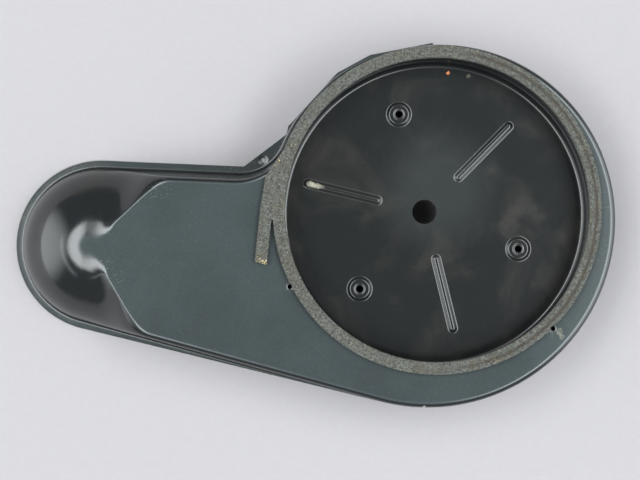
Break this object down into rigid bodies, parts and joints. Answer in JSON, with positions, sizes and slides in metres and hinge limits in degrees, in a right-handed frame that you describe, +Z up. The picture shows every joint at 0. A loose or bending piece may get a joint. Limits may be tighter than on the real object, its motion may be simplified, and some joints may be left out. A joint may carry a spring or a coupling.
{
  "type": "air filter housing",
  "caption": "Pressed-steel scroll-shaped pan with a round open bowl, a channel running out to a rounded lobe, and a foam sealing strip round the bowl's rim.",
  "frame": {"origin": "middle of the round hole in the bowl floor, level with the floor's upper face", "axes": "+Z up out of the open bowl, along the centre hole's axis; -X along the channel to the lobe; the flange stands on z = -0.026"},
  "size_m": [0.3566, 0.2198, 0.0432],
  "materials": {
    "black_paint": "satin",
    "seal_foam": "matte",
    "yellow_glue": "matte"
  },
  "bodies": {
    "root": {"housing_shell": "black_paint", "foam_strip": "seal_foam", "strip_adhesive": "yellow_glue"}
  },
  "joints": []
}
